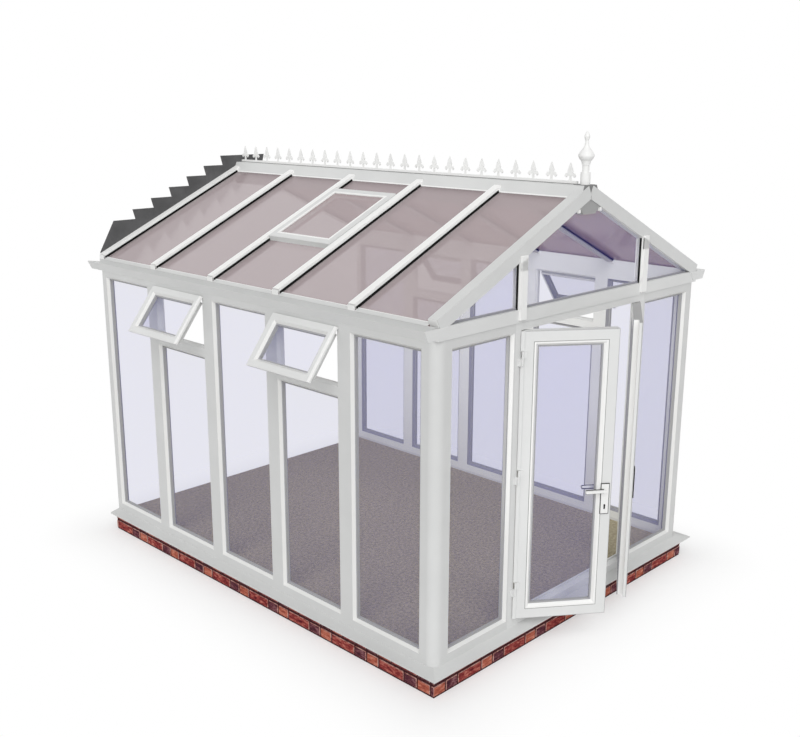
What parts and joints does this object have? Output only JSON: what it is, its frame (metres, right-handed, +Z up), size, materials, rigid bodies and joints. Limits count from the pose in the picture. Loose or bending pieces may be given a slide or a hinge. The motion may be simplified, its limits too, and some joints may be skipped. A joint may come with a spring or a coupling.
{
  "type": "conservatory",
  "caption": "Gable-fronted conservatory with white plastic frames on a low brick base, glazed pitched roof, fanlights and outward-opening double doors.",
  "frame": {"origin": "middle of the base, at ground level", "axes": "+X to the right seen from the doors, +Y from the doors to the house, +Z up"},
  "size_m": [3.3274, 4.0159, 3.3297],
  "materials": {
    "white_plastic": "satin white window plastic",
    "ridge_beam": "grey coated aluminium",
    "glass": "clear sealed double glazing",
    "roof_glass": "tinted sealed roof glass",
    "brick": "mixed red facing brick in mortar",
    "floor": "concrete slab with a fine speckled covering",
    "handle": "satin metal",
    "lead": "dull grey lead sheet"
  },
  "bodies": {
    "root": {"floor": "floor", "front_plinth": "brick", "left_plinth": "brick", "right_plinth": "brick", "front_cill": "white_plastic", "left_cill": "white_plastic", "right_cill": "white_plastic", "left_corner_post": "white_plastic", "right_corner_post": "white_plastic", "left_fixed_windows": "white_plastic", "left_opening_windows": "white_plastic", "left_fanlights": "white_plastic", "left_window_glass": "glass", "right_fixed_windows": "white_plastic", "right_opening_windows": "white_plastic", "right_fanlights": "white_plastic", "right_window_glass": "glass", "front_windows": "white_plastic", "front_glass": "glass", "door_frame": "white_plastic", "left_eaves_beam": "white_plastic", "right_eaves_beam": "white_plastic", "left_gutter": "white_plastic", "right_gutter": "white_plastic", "gable_beam": "white_plastic", "gable_uprights": "white_plastic", "gable_glass": "glass", "left_front_rafter": "white_plastic", "right_front_rafter": "white_plastic", "ridge_beam": "ridge_beam", "left_roof_bars": "white_plastic", "right_roof_bars": "white_plastic", "left_roof_glass": "roof_glass", "right_roof_glass": "roof_glass", "roof_vent": "white_plastic", "ridge_cap": "white_plastic", "cresting": "white_plastic", "finial": "white_plastic", "flashing": "lead"},
    "left_door": {"left_door": "white_plastic", "left_door_glass": "glass", "handle_plates": "handle"},
    "right_door": {"right_door": "white_plastic", "right_door_glass": "glass"},
    "lever": {"lever_handle": "handle"}
  },
  "joints": [
    {"name": "left_door_hinge", "type": "hinge", "parent": "root", "child": "left_door", "pos_m": [-0.6635, -1.815, 1.19], "axis": [0, 0, -1], "range_deg": [-37, 53]},
    {"name": "right_door_hinge", "type": "hinge", "parent": "root", "child": "right_door", "pos_m": [0.6635, -1.815, 1.19], "axis": [0, 0, 1], "range_deg": [-33, 57]},
    {"name": "lever_turn", "type": "hinge", "parent": "left_door", "child": "lever", "pos_m": [-0.20306, -2.15195, 1.095], "axis": [-0.6018, -0.7986, 0], "range_deg": [0, 40], "stiffness_Nm_per_rad": 1, "springref_deg": -20.05}
  ]
}
